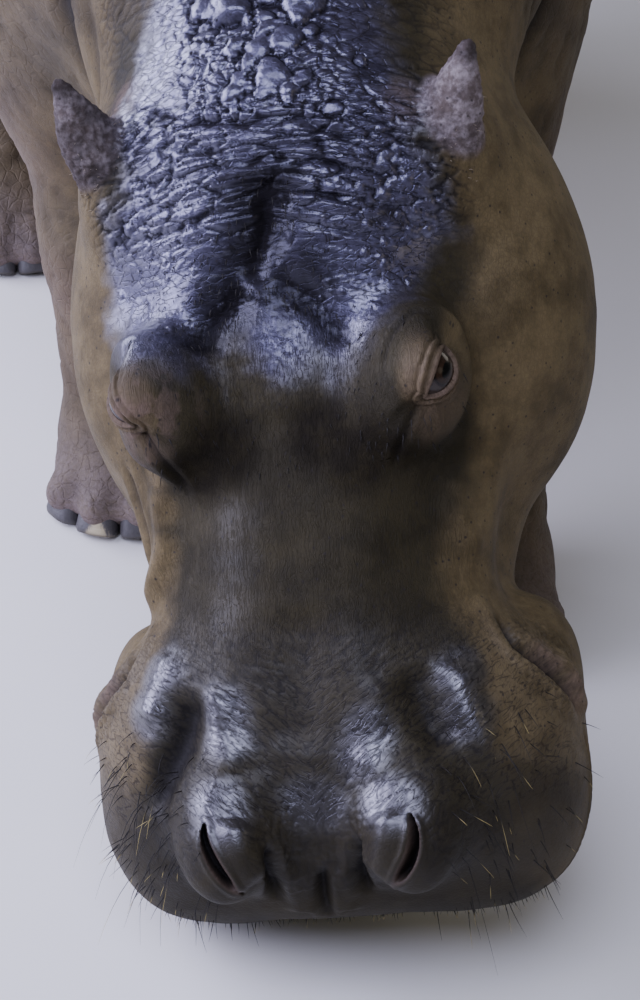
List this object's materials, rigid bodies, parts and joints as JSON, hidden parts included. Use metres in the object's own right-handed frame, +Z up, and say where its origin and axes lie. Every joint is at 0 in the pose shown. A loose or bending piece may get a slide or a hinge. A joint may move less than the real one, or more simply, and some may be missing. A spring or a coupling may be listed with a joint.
{
  "type": "hippopotamus",
  "caption": "Life-size still figure of a hippopotamus, standing in mid-step with its head lowered to the ground to graze.",
  "frame": {"origin": "on the floor under the middle of the animal's bounding box", "axes": "+Z up, -Y the way the head and forefeet point, +X the animal's left"},
  "size_m": [1.1048, 2.6208, 1.3691],
  "materials": {
    "skin_dark": "wet, creased bare skin",
    "skin_light": "dry, creased bare skin",
    "skin_ear": "thin, warty bare skin",
    "nail": "worn horn",
    "eye": "wet and glossy"
  },
  "bodies": {
    "root": {"head": "skin_dark", "lower_jaw": "skin_dark", "ear_left": "skin_ear", "ear_right": "skin_ear", "eye_left": "eye", "eye_right": "eye", "neck": "skin_dark", "trunk": "skin_dark", "tail": "skin_light", "leg_fore_right": "skin_light", "foot_fore_right": "skin_light", "nail_fore_right_1": "nail", "nail_fore_right_2": "nail", "nail_fore_right_3": "nail", "nail_fore_right_4": "nail", "leg_fore_left": "skin_light", "foot_fore_left": "skin_light", "nail_fore_left_1": "nail", "nail_fore_left_2": "nail", "nail_fore_left_3": "nail", "nail_fore_left_4": "nail", "leg_hind_right": "skin_light", "foot_hind_right": "skin_light", "nail_hind_right_1": "nail", "nail_hind_right_2": "nail", "nail_hind_right_3": "nail", "nail_hind_right_4": "nail", "leg_hind_left": "skin_light", "foot_hind_left": "skin_light", "nail_hind_left_1": "nail", "nail_hind_left_2": "nail", "nail_hind_left_3": "nail", "nail_hind_left_4": "nail"}
  },
  "joints": []
}
